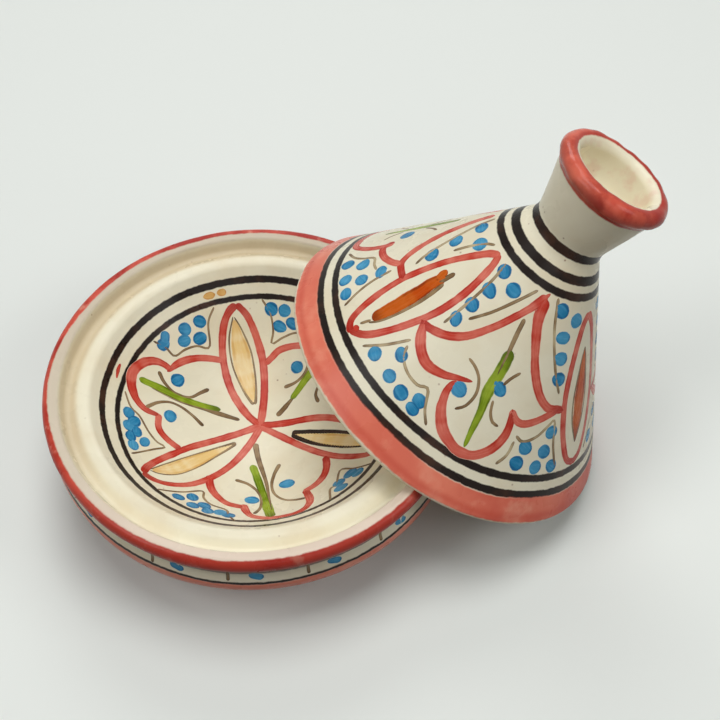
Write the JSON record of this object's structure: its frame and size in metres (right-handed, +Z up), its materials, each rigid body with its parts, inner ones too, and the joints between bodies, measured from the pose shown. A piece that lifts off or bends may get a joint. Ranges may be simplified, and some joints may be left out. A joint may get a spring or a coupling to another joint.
{
  "type": "tagine pot",
  "caption": "Round glazed earthenware cooking dish with a painted bowl, and a hollow conical lid with a flared cup-shaped knob that leans on the dish's lip.",
  "frame": {"origin": "centre of the dish's flat foot, on the table", "axes": "+Z up along the dish's axis, +X the way the lid leans, from the dish towards the lid's low edge"},
  "size_m": [0.2158, 0.15, 0.1321],
  "materials": {
    "dish_glaze": "gloss",
    "lid_glaze": "gloss"
  },
  "bodies": {
    "dish": {"base_dish": "dish_glaze"},
    "lid": {"conical_lid": "lid_glaze"}
  },
  "joints": [
    {"name": "lid_lift", "type": "slide", "parent": "dish", "child": "lid", "axis": [0, 0, 1], "range_m": [0, 0.12]}
  ]
}
